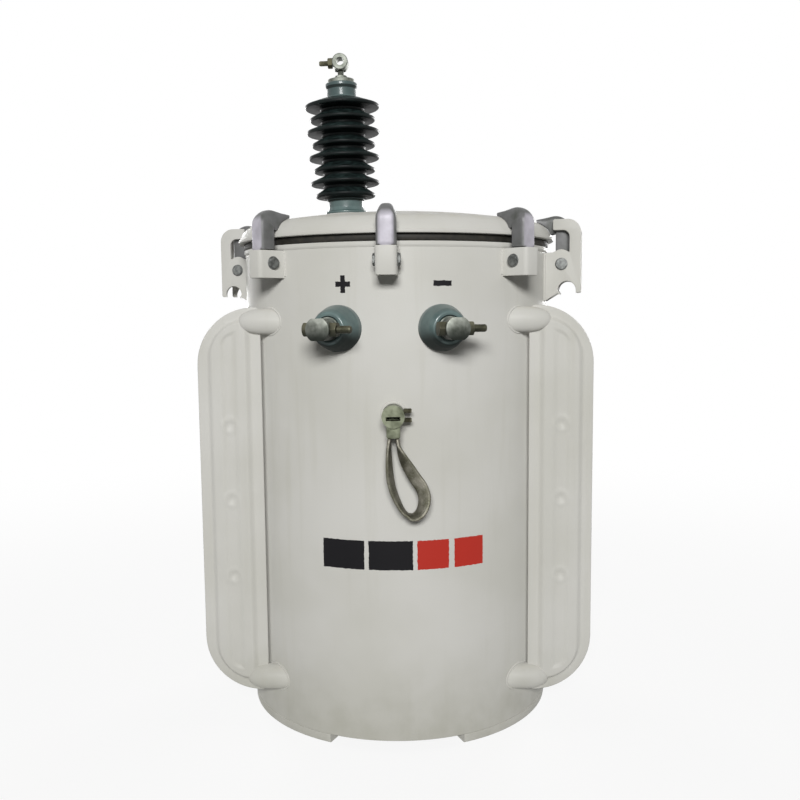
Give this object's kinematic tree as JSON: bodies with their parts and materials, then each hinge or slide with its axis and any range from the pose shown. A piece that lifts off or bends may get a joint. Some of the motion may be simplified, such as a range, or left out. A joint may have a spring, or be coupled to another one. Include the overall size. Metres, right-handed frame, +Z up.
{
  "type": "pole mounted transformer",
  "caption": "Round oil filled tank with a clamped dome lid, ribbed top bushing, front terminals, flat side radiators, lifting lugs and rear pole hangers.",
  "frame": {"origin": "on the floor at the tank axis", "axes": "+Z up along the tank axis, -Y to the front with the low voltage terminals, +X to the right seen from the front"},
  "size_m": [0.5612, 0.5897, 0.9872],
  "materials": {
    "paint": "light grey enamel, satin",
    "clamp": "galvanised and grey painted",
    "gasket": "black, matt",
    "sheds": "dark green black, satin",
    "insulator": "grey green epoxy, gloss",
    "terminal": "tinned, bright",
    "bolt": "zinc plated, dull",
    "braid": "tinned copper braid, dull"
  },
  "bodies": {
    "root": {"tank_shell": "paint", "tank_bottom": "paint", "base_ring": "paint", "tank_rim": "paint", "lid_gasket": "gasket", "lid": "paint", "clamp_front": "clamp", "clamp_front_right": "clamp", "clamp_right": "clamp", "clamp_rear_right": "clamp", "clamp_rear": "clamp", "clamp_rear_left": "clamp", "clamp_left": "clamp", "clamp_front_left": "clamp", "clamp_brackets": "paint", "clamp_bolts": "bolt", "lug_left": "paint", "lug_right": "paint", "lug_bolts": "bolt", "hv_collar": "insulator", "hv_sheds": "sheds", "hv_cap": "insulator", "hv_stud": "terminal", "hv_terminal": "terminal", "hv_bolt": "bolt", "lv_insulator_left": "insulator", "lv_insulator_right": "insulator", "lv_stud_left": "terminal", "lv_stud_right": "terminal", "lv_terminal_left": "terminal", "lv_terminal_right": "terminal", "lv_bolt_left": "bolt", "lv_bolt_right": "bolt", "earth_boss": "paint", "earth_clamp": "terminal", "earth_bolts": "bolt", "earth_braid": "braid", "radiator_front_left": "paint", "radiator_front_right": "paint", "radiator_rear_left": "paint", "radiator_rear_right": "paint", "pipes_front_left": "paint", "pipes_front_right": "paint", "pipes_rear_left": "paint", "pipes_rear_right": "paint", "hanger_upper": "paint", "hanger_lower": "paint"}
  },
  "joints": []
}
